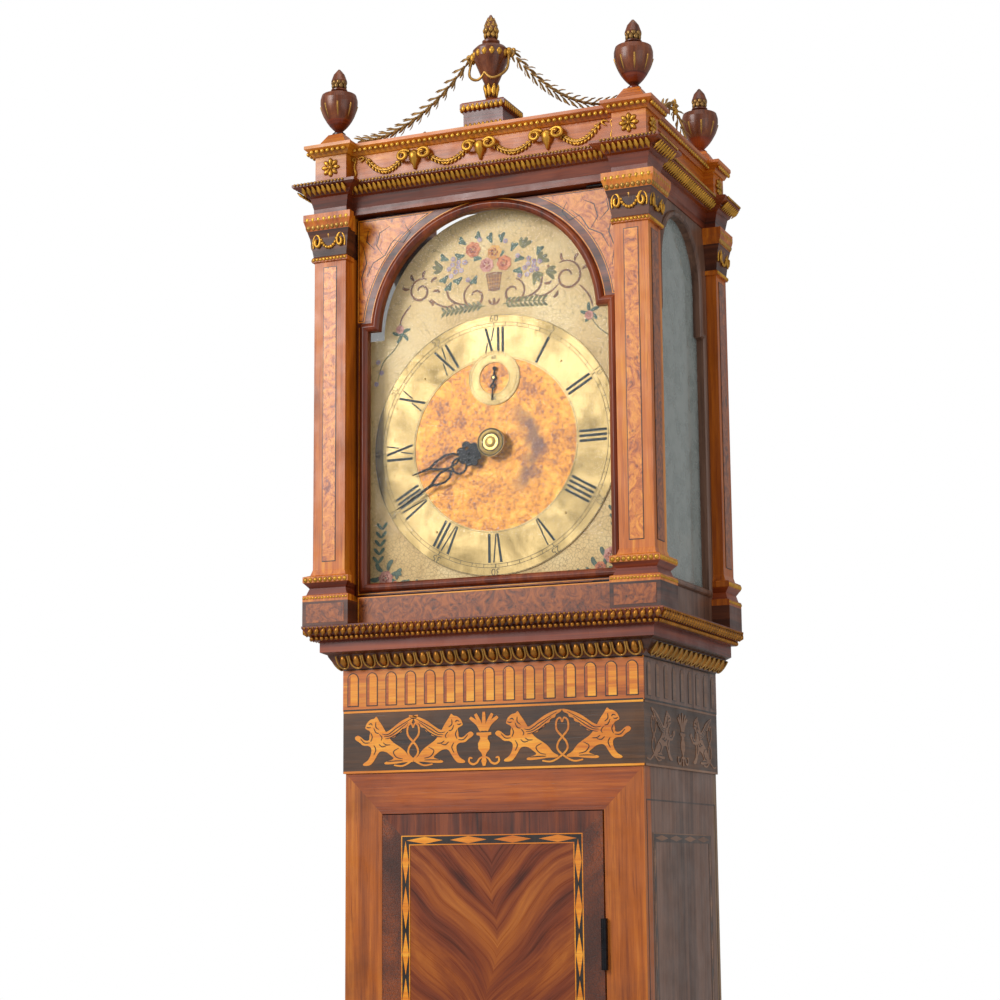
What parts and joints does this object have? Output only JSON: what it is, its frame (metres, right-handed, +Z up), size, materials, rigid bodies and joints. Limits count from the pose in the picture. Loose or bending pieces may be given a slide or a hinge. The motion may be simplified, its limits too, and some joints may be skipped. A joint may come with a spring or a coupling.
{
  "type": "longcase clock",
  "caption": "Tall longcase clock with a glazed hood on corner columns, a long trunk door, a wide base, a rope-wound weight-driven movement and a pendulum.",
  "frame": {"origin": "on the floor, under the middle of the whole clock", "axes": "+Z up, +Y back towards the wall, +X to the right of someone who faces the dial"},
  "size_m": [0.43, 0.285, 2.324],
  "materials": {
    "mahogany": "french polished",
    "satinwood": "french polished, with inlay",
    "gilt_wood": "gilded and worn",
    "oak": "oiled",
    "glass": "clear",
    "brass": "polished",
    "steel": "polished",
    "dark_steel": "blued black",
    "dial_paint": "aged cream paint",
    "rope": "plaited"
  },
  "bodies": {
    "case": {"skirting": "mahogany", "base_panels": "mahogany", "base_floor": "oak", "base_moulding": "mahogany", "backboard": "oak", "trunk_sides": "mahogany", "trunk_front_frame": "mahogany", "marquetry_frieze": "satinwood", "fluted_frieze": "satinwood", "throat_moulding": "gilt_wood", "fixed_hinge_leaves": "dark_steel", "dial_plate": "dial_paint", "chapter_ring": "brass", "dial_centre": "brass", "seconds_ring": "brass", "front_plate": "brass", "back_plate": "brass", "plate_pillars": "brass", "seatboard": "oak", "back_cock": "brass", "rope_turn": "rope"},
    "trunk_door": {"trunk_door": "mahogany", "door_hinge_leaves": "dark_steel", "door_lock": "brass"},
    "lock_bolt": {"lock_bolt": "steel"},
    "door_key": {"door_key": "steel"},
    "hood": {"hood_base": "gilt_wood", "hood_columns": "satinwood", "hood_sides": "mahogany", "side_glasses": "glass", "hood_architrave": "mahogany", "attic": "satinwood", "hood_roof": "oak", "corner_finials": "gilt_wood", "centre_urn": "gilt_wood", "garlands": "gilt_wood"},
    "hood_door": {"hood_door": "mahogany", "hood_door_glass": "glass", "hood_door_pivots": "brass"},
    "minute_hand": {"minute_hand": "dark_steel", "cannon_wheel": "brass"},
    "minute_wheel": {"minute_wheel": "brass"},
    "hour_hand": {"hour_hand": "dark_steel", "hour_wheel": "brass"},
    "escape_wheel": {"escape_wheel": "brass", "seconds_hand": "dark_steel"},
    "third_wheel": {"third_wheel": "brass"},
    "centre_wheel": {"centre_wheel": "brass"},
    "great_wheel": {"great_wheel": "brass"},
    "rope_pulley": {"rope_pulley": "brass"},
    "click": {"click": "steel"},
    "anchor": {"anchor": "steel"},
    "pendulum": {"suspension_spring": "steel", "pendulum_rod": "steel", "pendulum_bob": "brass"},
    "rating_nut": {"rating_nut": "brass"},
    "driving_weight": {"driving_weight": "brass", "weight_fall": "rope"},
    "counterweight": {"counterweight": "brass", "counter_fall": "rope"}
  },
  "joints": [
    {"name": "hood_slide", "type": "slide", "parent": "case", "child": "hood", "axis": [0, -1, 0], "range_m": [0, 0.3]},
    {"name": "hood_door_hinge", "type": "hinge", "parent": "hood", "child": "hood_door", "pos_m": [0.1485, -0.0985, 1.9], "axis": [0, 0, 1], "range_deg": [0, 70]},
    {"name": "trunk_door_hinge", "type": "hinge", "parent": "case", "child": "trunk_door", "pos_m": [0.122, -0.097, 1.047], "axis": [0, 0, 1], "range_deg": [0, 110]},
    {"name": "key_turn", "type": "hinge", "parent": "trunk_door", "child": "door_key", "pos_m": [-0.1015, -0.094, 1.047], "axis": [0, 1, 0], "range_deg": [0, 90]},
    {"name": "bolt_throw", "type": "slide", "parent": "trunk_door", "child": "lock_bolt", "axis": [-1, 0, 0], "range_m": [0, 0.008]},
    {"name": "minute_hand_turn", "type": "hinge", "parent": "case", "child": "minute_hand", "pos_m": [0, -0.084, 1.848], "axis": [0, 1, 0], "continuous": true},
    {"name": "minute_wheel_turn", "type": "hinge", "parent": "case", "child": "minute_wheel", "pos_m": [-0.02227, -0.048, 1.82573], "axis": [0, 1, 0], "continuous": true},
    {"name": "hour_hand_turn", "type": "hinge", "parent": "case", "child": "hour_hand", "pos_m": [0, -0.079, 1.848], "axis": [0, 1, 0], "continuous": true},
    {"name": "escape_wheel_turn", "type": "hinge", "parent": "case", "child": "escape_wheel", "pos_m": [0, 0, 1.9192], "axis": [0, 1, 0], "continuous": true},
    {"name": "third_wheel_turn", "type": "hinge", "parent": "case", "child": "third_wheel", "pos_m": [0.0093, 0, 1.88649], "axis": [0, 1, 0], "continuous": true},
    {"name": "centre_wheel_turn", "type": "hinge", "parent": "case", "child": "centre_wheel", "pos_m": [0, 0, 1.848], "axis": [0, 1, 0], "continuous": true},
    {"name": "great_wheel_turn", "type": "hinge", "parent": "case", "child": "great_wheel", "pos_m": [0, 0, 1.8064], "axis": [0, 1, 0], "continuous": true},
    {"name": "click_lift", "type": "hinge", "parent": "great_wheel", "child": "click", "pos_m": [0, -0.0257, 1.8304], "axis": [0, 1, 0], "range_deg": [0, 12], "stiffness_Nm_per_rad": 0.02, "springref_deg": -11.46},
    {"name": "rope_pulley_turn", "type": "hinge", "parent": "great_wheel", "child": "rope_pulley", "pos_m": [0, -0.0187, 1.8064], "axis": [0, 1, 0], "range_deg": [-480, 1150]},
    {"name": "weight_run", "type": "slide", "parent": "case", "child": "driving_weight", "axis": [0, 0, 1], "range_m": [-0.6, 0.25], "deforming": ["weight_fall"]},
    {"name": "counterweight_run", "type": "slide", "parent": "case", "child": "counterweight", "axis": [0, 0, 1], "range_m": [-0.25, 0.6], "deforming": ["counter_fall"]},
    {"name": "pendulum_swing", "type": "hinge", "parent": "case", "child": "pendulum", "pos_m": [0, 0.0525, 1.94607], "axis": [0, 1, 0], "range_deg": [-2, 2]},
    {"name": "anchor_rock", "type": "hinge", "parent": "case", "child": "anchor", "pos_m": [0, 0, 1.94607], "axis": [0, 1, 0], "range_deg": [-2, 2]},
    {"name": "rating_nut_turn", "type": "hinge", "parent": "pendulum", "child": "rating_nut", "pos_m": [0, 0.0525, 0.89707], "axis": [0, 0, 1], "continuous": true}
  ],
  "couplings": [
    {"joint": "bolt_throw", "follows": "key_turn", "m_per_rad": 0.005093},
    {"joint": "minute_wheel_turn", "follows": "minute_hand_turn", "ratio": -0.5},
    {"joint": "hour_hand_turn", "follows": "minute_hand_turn", "ratio": 0.083333},
    {"joint": "third_wheel_turn", "follows": "escape_wheel_turn", "ratio": -0.13333},
    {"joint": "centre_wheel_turn", "follows": "escape_wheel_turn", "ratio": 0.016667},
    {"joint": "great_wheel_turn", "follows": "escape_wheel_turn", "ratio": -0.0013889},
    {"joint": "rope_pulley_turn", "follows": "weight_run", "rad_per_m": -33.333},
    {"joint": "counterweight_run", "follows": "weight_run", "ratio": -1},
    {"joint": "anchor_rock", "follows": "pendulum_swing", "ratio": 1}
  ]
}
